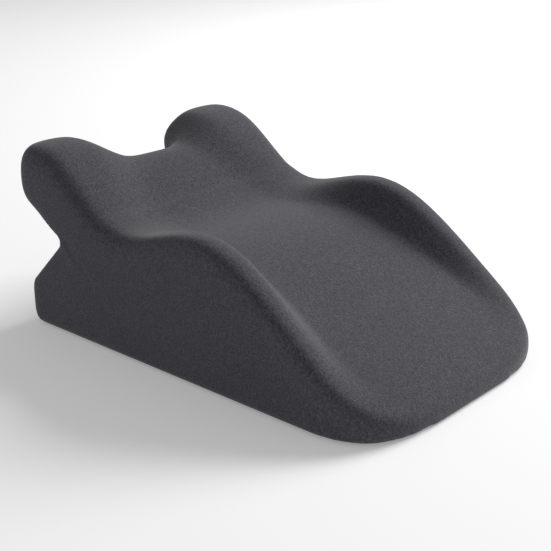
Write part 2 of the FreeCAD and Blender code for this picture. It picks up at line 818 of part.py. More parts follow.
def zip_coil(name, side):
    """Coil chain on one tape; it runs apart where the slider's divider stands."""
    spread_start = "([slider_place] - [divider_full])"
    spread_end = "([slider_place] + [divider_full])"
    end = "(%s + [running_gap])" % SLIDER_NOSE
    apart = "[coil_gap] + [coil_spread]"
    corners = [
        ("-[zip_half_length]", "[coil_gap]"), (spread_start, "[coil_gap]"),
        (spread_end, apart), (end, apart),
        (end, apart + " + [coil_width]"), (spread_end, apart + " + [coil_width]"),
        (spread_start, "[coil_gap] + [coil_width]"),
        ("-[zip_half_length]", "[coil_gap] + [coil_width]"),
    ]
    body = doc.addObject("PartDesign::Body", name)
    pad_polygon(body, name, mirrored(corners, side), TAPE_FRONT, COIL_FRONT)
    return keep(body, name)


def zip_slider():
    """Cast slider: front and back plates, side flanges and the divider that parts the coils."""
    body = doc.addObject("PartDesign::Body", "zip_slider")
    tail = "[slider_tail_width] / 2"
    nose = "[slider_nose_width] / 2"
    flange_back = "(%s + [running_gap])" % TAPE_FRONT
    plate_rear_front = "(%s - [running_gap])" % TAPE_BACK
    pad_polygon(body, "front_plate", [
        (SLIDER_TAIL, "-%s" % tail), (SLIDER_NOSE, "-%s" % nose),
        (SLIDER_NOSE, nose), (SLIDER_TAIL, tail)], PLATE_BACK, PLATE_FRONT)
    for side_name, side in (("upper", 1), ("lower", -1)):
        flange = [(SLIDER_TAIL, tail + " - [flange_thickness]"),
                  (SLIDER_NOSE, nose + " - [flange_thickness]"),
                  (SLIDER_NOSE, nose), (SLIDER_TAIL, tail)]
        pad_polygon(body, side_name + "_flange", mirrored(flange, side), flange_back, PLATE_BACK)
    divider = [("[slider_place] - [divider_start]", "0"),
               ("[slider_place] + [divider_full]", "-[divider_width] / 2"),
               ("[slider_place] + [divider_end]", "-[divider_width] / 2"),
               ("[slider_place] + [divider_end]", "[divider_width] / 2"),
               ("[slider_place] + [divider_full]", "[divider_width] / 2")]
    pad_polygon(body, "divider", divider, plate_rear_front, PLATE_BACK)
    back_tail = tail + " - [flange_thickness]"
    back_nose = nose + " - [flange_thickness]"
    pad_polygon(body, "back_plate", [
        (SLIDER_TAIL, "-(%s)" % back_tail), (SLIDER_NOSE, "-(%s)" % back_nose),
        (SLIDER_NOSE, back_nose), (SLIDER_TAIL, back_tail)],
        "(%s - [flange_thickness])" % plate_rear_front, plate_rear_front)
    return keep(body, "zip_slider")


def zip_crown():
    """Small bridge on the slider that holds the pull's bar."""
    block_box = add_box("crown_block", "[crown_length]", "[crown_height]", "[crown_width]",
                        "[slider_place] - [crown_length] / 2", PLATE_FRONT,
                        "[zip_height] - [crown_width] / 2")
    eye = add_box("crown_eye", "[crown_eye_length]", "[crown_eye_height]", "[crown_width] * 2",
                  "[slider_place] - [crown_eye_length] / 2",
                  "%s - [crown_eye_height] / 2" % HINGE_Y, "[zip_height] - [crown_width]")
    crown = doc.addObject("Part::Cut", "zip_crown")
    crown.Base = block_box
    crown.Tool = eye
    return keep(crown, "zip_crown")


def zip_pull():
    """Pull tab with its bar through the crown, lying back along the closed zip."""
    low = "[zip_height] - [pull_width] / 2"
    back = "%s - [pull_thickness] / 2" % HINGE_Y
    tab = add_box("pull_tab", "[pull_length] + [pull_heel]", "[pull_thickness]", "[pull_width]",
                  "[slider_place] - [pull_length]", back, low)
    window = add_box("pull_window", "[pull_window_length] + [pull_heel] * 2",
                     "[pull_thickness] * 2", "[pull_window_width]",
                     "[slider_place] - [pull_window_length]",
                     "%s - [pull_thickness]" % HINGE_Y, "[zip_height] - [pull_window_width] / 2")
    hole = doc.addObject("Part::Cylinder", "pull_hole_tool")
    hole.Placement.Rotation = FreeCAD.Rotation(Vector(1, 0, 0), -90)
    bind(hole, Radius="[pull_hole] / 2", Height="[pull_thickness] * 2",
         Placement__Base__x="[slider_place] - [pull_length] + [pull_hole]",
         Placement__Base__y="%s - [pull_thickness]" % HINGE_Y, Placement__Base__z="[zip_height]")
    openings = doc.addObject("Part::MultiFuse", "pull_openings")
    openings.Shapes = [window, hole]
    plate = doc.addObject("Part::Cut", "pull_plate")
    plate.Base = tab
    plate.Tool = openings
    bar = doc.addObject("Part::Cylinder", "pull_bar_pin")
    bind(bar, Radius="[pull_bar] / 2", Height="[pull_width]", Placement__Base__x="[slider_place]",
         Placement__Base__y=HINGE_Y, Placement__Base__z=low)
    pull = doc.addObject("Part::Fuse", "zip_pull")
    pull.Base = plate
    pull.Tool = bar
    return keep(pull, "zip_pull")


def zip_top_stops():
    """A crimped stop on each coil at the closed end, as one pair."""
    stops = []
    for side_name, low in (("upper", "[coil_gap] + [coil_spread]"),
                           ("lower", "-([coil_gap] + [coil_spread] + [coil_width])")):
        stops.append(add_box("top_stop_" + side_name, "[stop_length]", "[stop_thickness]",
                             "[coil_width]", "%s + 2 * [running_gap]" % SLIDER_NOSE, TAPE_FRONT,
                             "[zip_height] + %s" % low))
    pair = doc.addObject("Part::Compound", "zip_top_stops")
    pair.Links = stops
    return keep(pair, "zip_top_stops")


def zip_bottom_stop():
    """Stop crimped across both coils at the open end."""
    reach = "([coil_gap] + [coil_width])"
    box = add_box("zip_bottom_stop", "[stop_length]", "[stop_thickness]", "2 * %s" % reach,
                  "-[zip_half_length] - [running_gap] - [stop_length]", TAPE_FRONT,
                  "[zip_height] - %s" % reach)
    return keep(box, "zip_bottom_stop")


def care_label():
    """Blank woven label caught in the seam below the zip."""
    off_cover = "%s + [running_gap] / 2" % LIP
    box = add_box("care_label", "[label_width]", "[label_thickness]", "[label_height]",
                  "[label_place] - [label_width] / 2", off_cover,
                  "[zip_height] - [slot_half_height] - [label_height]")
    return keep(box, "care_label")


def check_document():
    """Stop if any object failed or any sub-part is empty or broken."""
    doc.recompute()
    for item in doc.Objects:
        if "Invalid" in item.State or "Error" in item.State:
            raise RuntimeError("%s failed: %s" % (item.Name, item.State))
    for item in SUB_PARTS:
        if item.Shape.isNull() or not item.Shape.isValid():
            raise RuntimeError("%s has no valid shape" % item.Label)


def export_parts():
    """Write each sub-part to its own file and print what it is."""
    os.makedirs("parts", exist_ok=True)
    for item in SUB_PARTS:
        item.Shape.exportStep("parts/%s.step" % item.Label)
        box = item.Shape.BoundBox
        print("%-18s %10.1f mm3  x %7.2f %7.2f  y %7.2f %7.2f  z %7.2f %7.2f" % (
            item.Label, item.Shape.Volume, box.XMin, box.XMax, box.YMin, box.YMax,
            box.ZMin, box.ZMax))


base_panel()
seam_allowance()
doc.recompute()
add_foam()
add_cover()
zip_tape("zip_tape_upper", 1)
zip_tape("zip_tape_lower", -1)
zip_coil("zip_coil_upper", 1)
zip_coil("zip_coil_lower", -1)
zip_top_stops()
zip_bottom_stop()
zip_slider()
zip_crown()
zip_pull()
care_label()
check_document()
export_parts()
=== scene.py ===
"""Looks of the neck traction pillow: a soft knit cover over the foam, its base panel and zip."""
import json
import math
import random

import bmesh
import bpy
import numpy as np
from mathutils import Matrix, Vector


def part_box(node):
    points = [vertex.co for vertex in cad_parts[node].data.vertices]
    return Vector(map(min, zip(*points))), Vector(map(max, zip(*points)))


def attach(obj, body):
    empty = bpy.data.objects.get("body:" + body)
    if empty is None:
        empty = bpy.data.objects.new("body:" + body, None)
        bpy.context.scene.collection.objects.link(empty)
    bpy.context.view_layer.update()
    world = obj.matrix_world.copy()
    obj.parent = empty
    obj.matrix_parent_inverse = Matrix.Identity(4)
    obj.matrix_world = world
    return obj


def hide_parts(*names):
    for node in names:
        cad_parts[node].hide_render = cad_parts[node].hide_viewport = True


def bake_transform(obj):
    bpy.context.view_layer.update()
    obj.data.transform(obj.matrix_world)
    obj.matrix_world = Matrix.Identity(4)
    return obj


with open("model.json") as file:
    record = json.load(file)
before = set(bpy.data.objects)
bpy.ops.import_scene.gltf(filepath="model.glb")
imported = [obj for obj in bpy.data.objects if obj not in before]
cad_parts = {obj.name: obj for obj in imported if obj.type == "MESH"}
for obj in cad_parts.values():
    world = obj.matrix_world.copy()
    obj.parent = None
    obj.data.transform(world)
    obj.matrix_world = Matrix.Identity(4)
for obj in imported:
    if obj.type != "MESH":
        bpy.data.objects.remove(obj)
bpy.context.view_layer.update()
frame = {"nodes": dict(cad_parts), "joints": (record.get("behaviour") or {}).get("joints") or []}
MM = 0.001
random.seed(11)

# ------------------------------------------------------------------ places taken from the frame

panel_low, panel_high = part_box("base_panel")
tape_up_low, tape_up_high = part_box("zip_tape_upper")
tape_down_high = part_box("zip_tape_lower")[1]
slider_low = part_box("zip_slider")[0]
label_low, label_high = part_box("care_label")
flex = next(j for j in frame["joints"] if j["name"] == "head_rest_flex")
pivot = Vector(flex["pos_m"])

ZIP_Z = (tape_up_low.z + tape_down_high.z) / 2
TAPE_Y = tape_up_high.y
LIP_Y = TAPE_Y + 1.6 * MM
SLOT_HALF_HEIGHT = 4.3 * MM
SLOT_HALF_LENGTH = 65.0 * MM
FLEX_LEAN = math.radians(60.0)
FLEX_GAP = 1.5 * MM          # more than the part's own gap of 0.8 mm
CLOSING = 1.2                # how many flex gaps the head rest moves down at the split
CLOSING_REACH = 30 * MM      # above the split, the move fades out over this height
FLEX_UP = Vector((0, math.cos(FLEX_LEAN), math.sin(FLEX_LEAN)))   # square to the flex plane
BASE_GAP = 0.9 * MM          # the cover's underside stands this far up, on the panel and its dots
X_AXIS, Y_AXIS, Z_AXIS = Vector((1, 0, 0)), Vector((0, 1, 0)), Vector((0, 0, 1))


# ------------------------------------------------------------------ small helpers

def new_object(name, vertices, faces, smooth=True):
    """A mesh object from plain lists."""
    mesh = bpy.data.meshes.new(name)
    mesh.from_pydata([tuple(v) for v in vertices], [], faces)
    book = bmesh.new()
    book.from_mesh(mesh)
    bmesh.ops.recalc_face_normals(book, faces=book.faces)
    book.to_mesh(mesh)
    book.free()
    piece = bpy.data.objects.new(name, mesh)
    bpy.context.scene.collection.objects.link(piece)
    for polygon in mesh.polygons:
        polygon.use_smooth = smooth
    return piece


def only(piece):
    """Make a piece the one selected and active object."""
    bpy.ops.object.select_all(action="DESELECT")
    piece.select_set(True)
    bpy.context.view_layer.objects.active = piece


def apply_modifiers(piece):
    """Fix every modifier into the mesh."""
    only(piece)
    for modifier in list(piece.modifiers):
        bpy.ops.object.modifier_apply(modifier=modifier.name)


def coordinates(mesh):
    """Vertex places as an array."""
    flat = np.empty(len(mesh.vertices) * 3)
    mesh.vertices.foreach_get("co", flat)
    return flat.reshape(-1, 3)


def set_coordinates(mesh, places):
    """Write vertex places back."""
    mesh.vertices.foreach_set("co", places.ravel())
    mesh.update()


def neighbour_mean(mesh, places, rounds, factor):
    """Even out places along the mesh's edges."""
    edges = np.empty(len(mesh.edges) * 2, dtype=int)
    mesh.edges.foreach_get("vertices", edges)
    a, b = edges.reshape(-1, 2).T
    count = np.bincount(a, minlength=len(places)) + np.bincount(b, minlength=len(places))
    for _ in range(rounds):
        total = np.zeros_like(places)
        np.add.at(total, a, places[b])
        np.add.at(total, b, places[a])
        places = places + factor * (total / count[:, None] - places)
    return places


def swept(path, normal, wide, thick, sides=10, closed=True):
    """Vertices and faces of a band of oval section along a path square to its normal."""
    vertices, faces = [], []
    count = len(path)
    for i, point in enumerate(path):
        before = path[i - 1] if closed or i else point
        after = path[(i + 1) % count] if closed or i + 1 < count else point
        along = (after - before).normalized()
        across = along.cross(normal).normalized()
        for k in range(sides):
            turn = 2 * math.pi * k / sides
            vertices.append(point + across * (wide / 2 * math.cos(turn))
                            + normal * (thick / 2 * math.sin(turn)))
    for i in range(count if closed else count - 1):
        j = (i + 1) % count
        for k in range(sides):
            n = (k + 1) % sides
            faces.append((i * sides + k, i * sides + n, j * sides + n, j * sides + k))
    if not closed:
        faces.append(tuple(range(sides)))
        faces.append(tuple(range((count - 1) * sides, count * sides)))
    return vertices, faces


def rounded_outline(low, high, low_round, high_round, step):
    """Evenly spaced (u, v) points round a rectangle with rounded low and high corners."""
    corners = [(high[0] - low_round, low[1] + low_round, low_round, -90),
               (high[0] - high_round, high[1] - high_round, high_round, 0),
               (low[0] + high_round, high[1] - high_round, high_round, 90),
               (low[0] + low_round, low[1] + low_round, low_round, 180)]
    outline = []
    for u, v, radius, start in corners:
        for k in range(17):
            turn = math.radians(start + 90 * k / 16)
            outline.append((u + radius * math.cos(turn), v + radius * math.sin(turn)))
    outline = np.array(outline + outline[:1])
    run = np.r_[0, np.cumsum(np.hypot(*np.diff(outline, axis=0).T))]
    places = np.linspace(0, run[-1], max(int(run[-1] / step), 8), endpoint=False)
    return np.column_stack([np.interp(places, run, outline[:, 0]),
                            np.interp(places, run, outline[:, 1])])


def stitches(name, path, normal, length, thick, closed=True):
    """A row of oval thread stitches, one at each point of a path."""
    book = bmesh.new()
    count = len(path)
    for i, point in enumerate(path):
        before = path[i - 1] if closed or i else point
        after = path[(i + 1) % count] if closed or i + 1 < count else point
        along = (after - before).normalized()
        across = along.cross(normal).normalized()
        turn = Matrix((along, across, normal)).transposed().to_4x4()
        turn @= Matrix.Rotation(math.radians(random.uniform(-4, 4)), 4, "Z")
        shape = Matrix.Diagonal((length / 2, thick / 2, thick / 2, 1.0))
        bmesh.ops.create_uvsphere(book, u_segments=8, v_segments=6, radius=1.0,
                                  matrix=Matrix.Translation(point) @ turn @ shape
                                  @ Matrix.Rotation(math.pi / 2, 4, "Y"))
    mesh = bpy.data.meshes.new(name)
    book.to_mesh(mesh)
    book.free()
    piece = bpy.data.objects.new(name, mesh)
    bpy.context.scene.collection.objects.link(piece)
    for polygon in mesh.polygons:
        polygon.use_smooth = True
    return piece


def dress(piece, material, body="base"):
    """Give a new piece its material and the body it rides on."""
    piece.data.materials.clear()
    piece.data.materials.append(material)
    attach(piece, body)
    return piece


# ------------------------------------------------------------------ materials

def node_material(name):
    """An empty node material with its shader: (material, nodes, links, shader)."""
    material = bpy.data.materials.new(name)
    material.use_nodes = True
    nodes = material.node_tree.nodes
    shader = nodes["Principled BSDF"]
    return material, nodes, material.node_tree.links, shader


def object_place(nodes, links, scale=(1, 1, 1)):
    """Object coordinates, stretched."""
    place = nodes.new("ShaderNodeTexCoord")
    mapping = nodes.new("ShaderNodeMapping")
    mapping.inputs["Scale"].default_value = scale
    links.new(place.outputs["Object"], mapping.inputs["Vector"])
    return mapping.outputs["Vector"]


def noise(nodes, links, vector, scale, detail=2.0, roughness=0.5):
    """A noise value."""
    texture = nodes.new("ShaderNodeTexNoise")
    texture.inputs["Scale"].default_value = scale
    texture.inputs["Detail"].default_value = detail
    texture.inputs["Roughness"].default_value = roughness
    links.new(vector, texture.inputs["Vector"])
    return texture.outputs["Fac"]


def ramp(nodes, links, value, stops):
    """A colour ramp over a value; stops are (place, colour)."""
    band = nodes.new("ShaderNodeValToRGB")
    elements = band.color_ramp.elements
    while len(elements) < len(stops):
        elements.new(0.5)
    for element, (place, colour) in zip(elements, stops):
        element.position = place
        element.color = (*colour, 1.0)
    links.new(value, band.inputs["Fac"])
    return band.outputs["Color"]


def mix(nodes, links, factor, first, second, blend="MIX"):
    """Mix two colours; the factor is a number or a socket."""
    node = nodes.new("ShaderNodeMix")
    node.data_type = "RGBA"
    node.blend_type = blend
    if isinstance(factor, (int, float)):
        node.inputs[0].default_value = factor
    else:
        links.new(factor, node.inputs[0])
    links.new(first, node.inputs[6])
    links.new(second, node.inputs[7])
    return node.outputs[2]


def maths(nodes, links, operation, first, second):
    """A maths node; each input is a number or a socket."""
    node = nodes.new("ShaderNodeMath")
    node.operation = operation
    for index, value in enumerate((first, second)):
        if isinstance(value, (int, float)):
            node.inputs[index].default_value = value
        else:
            links.new(value, node.inputs[index])
    return node.outputs[0]


def bump(nodes, links, shader, height, distance, strength=1.0):
    """Give a shader a bump from a height value."""
    node = nodes.new("ShaderNodeBump")
    node.inputs["Distance"].default_value = distance
    node.inputs["Strength"].default_value = strength
    links.new(height, node.inputs["Height"])
    links.new(node.outputs["Normal"], shader.inputs["Normal"])


def wave(nodes, links, vector, scale, direction):
    """Straight bands across one axis, as a value from 0 to 1."""
    texture = nodes.new("ShaderNodeTexWave")
    texture.wave_type = "BANDS"
    texture.bands_direction = direction
    texture.inputs["Scale"].default_value = scale
    links.new(vector, texture.inputs["Vector"])
    return texture.outputs["Fac"]


def knit_material(name, dark, light):
    """Fine melange knit: flecks of two yarn shades, soft mottling and small loops."""
    material, nodes, links, shader = node_material(name)
    place = object_place(nodes, links)
    fleck = noise(nodes, links, place, 1000, 2.0, 0.65)
    cloud = noise(nodes, links, place, 420, 2.0, 0.5)
    patch = noise(nodes, links, place, 30, 2.0, 0.5)
    yarn = ramp(nodes, links, fleck, [(0.32, dark), (0.68, light)])
    cloudy = ramp(nodes, links, cloud, [(0.30, (0.88,) * 3), (0.70, (1.12,) * 3)])
    patchy = ramp(nodes, links, patch, [(0.25, (0.96,) * 3), (0.75, (1.04,) * 3)])
    colour = mix(nodes, links, 1.0, yarn, cloudy, "MULTIPLY")
    colour = mix(nodes, links, 1.0, colour, patchy, "MULTIPLY")
    links.new(colour, shader.inputs["Base Color"])
    loops = nodes.new("ShaderNodeTexVoronoi")
    loops.inputs["Scale"].default_value = 1300
    links.new(place, loops.inputs["Vector"])
    height = maths(nodes, links, "ADD", loops.outputs["Distance"], fleck)
    bump(nodes, links, shader, height, 0.00018, 0.8)
    shader.inputs["Roughness"].default_value = 0.92
    shader.inputs["Sheen Weight"].default_value = 0.22
    shader.inputs["Sheen Roughness"].default_value = 0.45
    shader.inputs["Specular IOR Level"].default_value = 0.25
    return material


def woven_material(name, dark, light, threads, plane=("X", "Y"), roughness=0.85):
    """Plain weave: two crossed bands of threads with uneven shades; threads per metre."""
    material, nodes, links, shader = node_material(name)
    place = object_place(nodes, links)
    warp = wave(nodes, links, place, threads, plane[0])
    weft = wave(nodes, links, place, threads, plane[1])
    over = maths(nodes, links, "MULTIPLY", warp, weft)
    fuzz = noise(nodes, links, place, 2600, 3.0, 0.6)
    shade = noise(nodes, links, place, 60, 2.0, 0.5)
    level = maths(nodes, links, "ADD", maths(nodes, links, "MULTIPLY", over, 0.65),
                  maths(nodes, links, "MULTIPLY", fuzz, 0.45))
    cloth = ramp(nodes, links, level, [(0.12, dark), (0.85, light)])
    patchy = ramp(nodes, links, shade, [(0.25, (0.90,) * 3), (0.75, (1.08,) * 3)])
    links.new(mix(nodes, links, 1.0, cloth, patchy, "MULTIPLY"), shader.inputs["Base Color"])
    bump(nodes, links, shader, level, 0.00020, 0.8)
    shader.inputs["Roughness"].default_value = roughness
    shader.inputs["Sheen Weight"].default_value = 0.12
    return material


def thread_material(name, dark, light):
    """Twisted sewing thread: slanting plies with a dull sheen."""
    material, nodes, links, shader = node_material(name)
    place = object_place(nodes, links, (1.0, 0.6, 1.4))
    ply = wave(nodes, links, place, 900, "DIAGONAL")
    fuzz = noise(nodes, links, place, 3000, 2.0, 0.6)
    level = maths(nodes, links, "ADD", maths(nodes, links, "MULTIPLY", ply, 0.6),
                  maths(nodes, links, "MULTIPLY", fuzz, 0.4))
    links.new(ramp(nodes, links, level, [(0.2, dark), (0.8, light)]), shader.inputs["Base Color"])
    bump(nodes, links, shader, level, 0.00008, 0.7)
    shader.inputs["Roughness"].default_value = 0.55
    shader.inputs["Sheen Weight"].default_value = 0.2
    return material


def foam_material(name, dark, light):
    """Memory foam: pale, with open pores of two sizes."""
    material, nodes, links, shader = node_material(name)
    place = object_place(nodes, links)
    pores = nodes.new("ShaderNodeTexVoronoi")
    pores.inputs["Scale"].default_value = 1500
    links.new(place, pores.inputs["Vector"])
    uneven = noise(nodes, links, place, 450, 4.0, 0.6)
    level = maths(nodes, links, "ADD", pores.outputs["Distance"],
                  maths(nodes, links, "MULTIPLY", uneven, 0.5))
    links.new(ramp(nodes, links, level, [(0.2, dark), (0.75, light)]), shader.inputs["Base Color"])
    bump(nodes, links, shader, level, 0.0003, 0.7)
    shader.inputs["Roughness"].default_value = 0.95
    return material


def moulded_material(name, dark, light, roughness, speckle=1200):
    """Moulded plastic or rubber: a nearly even colour, fine grain and uneven gloss."""
    material, nodes, links, shader = node_material(name)
    place = object_place(nodes, links)
    grain = noise(nodes, links, place, speckle, 3.0, 0.6)
    smear = noise(nodes, links, place, 160, 3.0, 0.55)
    links.new(ramp(nodes, links, smear, [(0.3, dark), (0.7, light)]), shader.inputs["Base Color"])
    gloss = maths(nodes, links, "ADD", maths(nodes, links, "MULTIPLY", smear, 0.2),
                  roughness - 0.1)
    links.new(gloss, shader.inputs["Roughness"])
    bump(nodes, links, shader, grain, 0.00003, 0.5)
    return material


def painted_metal(name, paint, metal):
    """Dark painted zinc, rubbed to bare metal along its edges, with fine scratches."""
    material, nodes, links, shader = node_material(name)
    place = object_place(nodes, links)
    long_place = object_place(nodes, links, (1.0, 6.0, 6.0))
    bevel = nodes.new("ShaderNodeBevel")
    bevel.samples = 4
    bevel.inputs["Radius"].default_value = 0.00035
    surface = nodes.new("ShaderNodeNewGeometry")
    turn = nodes.new("ShaderNodeVectorMath")
    turn.operation = "DOT_PRODUCT"
    links.new(bevel.outputs["Normal"], turn.inputs[0])
    links.new(surface.outputs["Normal"], turn.inputs[1])
    chips = noise(nodes, links, place, 1500, 4.0, 0.7)
    edge = maths(nodes, links, "SUBTRACT", 1.0, turn.outputs["Value"])
    wear = maths(nodes, links, "GREATER_THAN", maths(nodes, links, "MULTIPLY", edge, chips), 0.035)
    scratch = noise(nodes, links, long_place, 900, 3.0, 0.7)
    coat = ramp(nodes, links, scratch, [(0.35, paint), (0.75, tuple(c * 1.7 for c in paint))])
    bare = ramp(nodes, links, scratch, [(0.2, tuple(c * 0.8 for c in metal)), (0.8, metal)])
    links.new(mix(nodes, links, wear, coat, bare), shader.inputs["Base Color"])
    links.new(maths(nodes, links, "MULTIPLY", wear, 0.9), shader.inputs["Metallic"])
    gloss = maths(nodes, links, "ADD", maths(nodes, links, "MULTIPLY", scratch, 0.25), 0.22)
    links.new(gloss, shader.inputs["Roughness"])
    bump(nodes, links, shader, scratch, 0.00002, 0.5)
    return material


cover_knit = knit_material("cover_knit", (0.040, 0.040, 0.049), (0.096, 0.094, 0.110))
base_weave = woven_material("base_weave", (0.018, 0.018, 0.021), (0.065, 0.064, 0.070), 420)
tape_weave = woven_material("tape_weave", (0.012, 0.012, 0.014), (0.048, 0.047, 0.052), 700,
                            ("X", "Z"), 0.75)
label_weave = woven_material("label_weave", (0.36, 0.355, 0.34), (0.66, 0.65, 0.62), 620,
                             ("X", "Z"), 0.9)
seam_thread = thread_material("seam_thread", (0.030, 0.030, 0.034), (0.085, 0.084, 0.092))
foam_cells = foam_material("foam_cells", (0.55, 0.52, 0.44), (0.78, 0.76, 0.69))
grip_rubber = moulded_material("grip_rubber", (0.020, 0.020, 0.022), (0.034, 0.034, 0.036), 0.45)
coil_nylon = moulded_material("coil_nylon", (0.014, 0.014, 0.016), (0.028, 0.028, 0.031), 0.38)
slider_paint = painted_metal("slider_paint", (0.018, 0.018, 0.020), (0.48, 0.47, 0.45))


# ------------------------------------------------------------------ cover over the foam

def closed_up(place):
    """A head rest vertex carried over the flex gap, less the further it is from the gap."""
    height = (place - pivot).dot(FLEX_UP)
    fade = min(max(1 - height / CLOSING_REACH, 0.0), 1.0)
    return place - FLEX_UP * (FLEX_GAP * CLOSING * fade)


def solid_copy():
    """One mesh of everything soft, filled across the zip slot, to be remeshed as one skin."""
    book = bmesh.new()
    for name in ("cover_head_rest", "foam_head_rest"):
        book.from_mesh(frame["nodes"][name].data)
    for vertex in book.verts:
        vertex.co = closed_up(vertex.co)
    for name in ("cover_body", "foam_core", "base_panel"):
        book.from_mesh(frame["nodes"][name].data)
    size = Vector((2 * SLOT_HALF_LENGTH + 2 * MM, 3 * MM, 2 * SLOT_HALF_HEIGHT + 2 * MM))
    centre = Vector((0, LIP_Y - size.y / 2, ZIP_Z))
    fill = Matrix.Translation(centre) @ Matrix.Diagonal((*size, 1.0))
    bmesh.ops.create_cube(book, size=1.0, matrix=fill)
    mesh = bpy.data.meshes.new("knit_cover")
    book.to_mesh(mesh)
    book.free()
    piece = bpy.data.objects.new("knit_cover", mesh)
    bpy.context.scene.collection.objects.link(piece)
    return piece


def tension_crease(places):
    """A faint pull in the fabric on each side wall, running down and forward from the notch."""
    run = Vector((0, -18, -15)).normalized()
    length, width, rise = 26 * MM, 2.6 * MM, 0.45 * MM
    from_pivot = places - np.array(pivot)
    along = from_pivot[:, 1] * run.y + from_pivot[:, 2] * run.z
    beside = from_pivot[:, 1] * run.z - from_pivot[:, 2] * run.y
    on_wall = np.clip((np.abs(places[:, 0]) - 76 * MM) / (3 * MM), 0, 1)
    fade = np.clip(1 - along / length, 0, 1) * (along > 0)
    lift = rise * fade * on_wall * (np.exp(-(beside / width) ** 2)
                                    - 0.7 * np.exp(-((beside - 1.6 * width) / width) ** 2))
    places[:, 0] += np.sign(places[:, 0]) * lift
    return places


def drape(mesh):
    """Even the remeshed skin out like stretched fabric, most over the lobes' rear edges."""
    places = neighbour_mean(mesh, coordinates(mesh), 5, 0.5)
    y, z = places[:, 1], places[:, 2]
    behind = np.clip((y - pivot.y - 4 * MM) / (12 * MM), 0, 1)
    above = np.clip((z - pivot.z - 4 * MM) / (10 * MM), 0, 1)
    places = neighbour_mean(mesh, places, 16, 0.5 * (behind * above)[:, None])
    places = tension_crease(places)
    places[:, 2] = np.maximum(places[:, 2], BASE_GAP)
    set_coordinates(mesh, places)


def bend_at_flex(piece):
    """Fix a piece's placement into its mesh; the piece does not bend at the flex zone."""
    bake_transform(piece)


def make_foam(cover):
    """The foam block: the cover's shape, moved in by the fabric's thickness."""
    mesh = cover.data.copy()
    mesh.name = "foam_block"
    depth = 2.6 * MM
    normals = np.array([vertex.normal for vertex in mesh.vertices])
    set_coordinates(mesh, coordinates(mesh) - depth * normals)
    foam = bpy.data.objects.new("foam_block", mesh)
    bpy.context.scene.collection.objects.link(foam)
    for polygon in mesh.polygons:
        polygon.use_smooth = True
    mesh.materials.clear()
    mesh.materials.append(foam_cells)
    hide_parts("foam_core", "foam_head_rest")
    bend_at_flex(foam)


def cut_slot(cover):
    """Open the cover down to the zip tapes."""
    depth = LIP_Y - TAPE_Y + 0.05 * MM
    half = Vector((SLOT_HALF_LENGTH, depth, SLOT_HALF_HEIGHT))
    bpy.ops.mesh.primitive_cube_add(size=2.0, location=(0, LIP_Y, ZIP_Z))
    cutter = bpy.context.object
    cutter.scale = half
    cut = cover.modifiers.new("slot", "BOOLEAN")
    cut.operation = "DIFFERENCE"
    cut.solver = "EXACT"
    cut.object = cutter
    apply_modifiers(cover)
    bpy.data.objects.remove(cutter)


def make_cover():
    """The knit cover: remeshed, evened out, set on its base and opened for the zip."""
    cover = solid_copy()
    remesh = cover.modifiers.new("remesh", "REMESH")
    remesh.mode = "VOXEL"
    remesh.voxel_size = 1.8 * MM
    apply_modifiers(cover)
    drape(cover.data)
    make_foam(cover)
    division = cover.modifiers.new("division", "SUBSURF")
    division.levels = 1
    division.render_levels = 1
    apply_modifiers(cover)
    cut_slot(cover)
    for polygon in cover.data.polygons:
        polygon.use_smooth = True
    cover.data.materials.clear()
    cover.data.materials.append(cover_knit)
    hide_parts("cover_body", "cover_head_rest", "seam_allowance")
    bend_at_flex(cover)


# ------------------------------------------------------------------ base panel, its seam and grip dots

PANEL_TOE_ROUND = 38.0 * MM
PANEL_REAR_ROUND = 8.0 * MM
PANEL_LOW = 0.45 * MM
PANEL_HIGH = 1.4 * MM


def panel_path(inset, step, z):
    """Points round the base panel, moved in by an inset."""
    outline = rounded_outline((panel_low.x + inset, panel_low.y + inset),
                              (panel_high.x - inset, panel_high.y - inset),
                              PANEL_TOE_ROUND - inset, PANEL_REAR_ROUND - inset, step)
    return [Vector((x, y, z)) for x, y in outline]


def make_panel():
    """Woven base panel, with the rolled seam that joins it to the cover and its stitches."""
    low = panel_path(0.4 * MM, 3 * MM, PANEL_LOW)
    high = [Vector((p.x, p.y, PANEL_HIGH)) for p in low]
    count = len(low)
    sides = [(i, (i + 1) % count, count + (i + 1) % count, count + i) for i in range(count)]
    caps = [tuple(range(count)), tuple(range(count, 2 * count))]
    panel = new_object("base_fabric_panel", low + high, sides + caps, smooth=False)
    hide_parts("base_panel")
    dress(panel, base_weave)
    roll = new_object("base_seam_roll", *swept(panel_path(0.1 * MM, 2 * MM, 0.95 * MM),
                                               Z_AXIS, 1.8 * MM, 1.1 * MM))
    dress(roll, cover_knit)
    rows = stitches("base_seam_stitches", panel_path(2.6 * MM, 3.2 * MM, PANEL_LOW),
                    Z_AXIS, 2.4 * MM, 0.5 * MM)
    dress(rows, seam_thread)


def inside_panel(x, y, margin):
    """Whether a point lies on the base panel, clear of its edge by a margin."""
    for corner_round, corner_y, side in ((PANEL_TOE_ROUND, panel_low.y, -1),
                                         (PANEL_REAR_ROUND, panel_high.y, 1)):
        u = abs(x) - (panel_high.x - corner_round)
        v = side * (y - corner_y) + corner_round
        if u > 0 and v > 0 and math.hypot(u, v) > corner_round - margin:
            return False
    return abs(x) < panel_high.x - margin and panel_low.y + margin < y < panel_high.y - margin


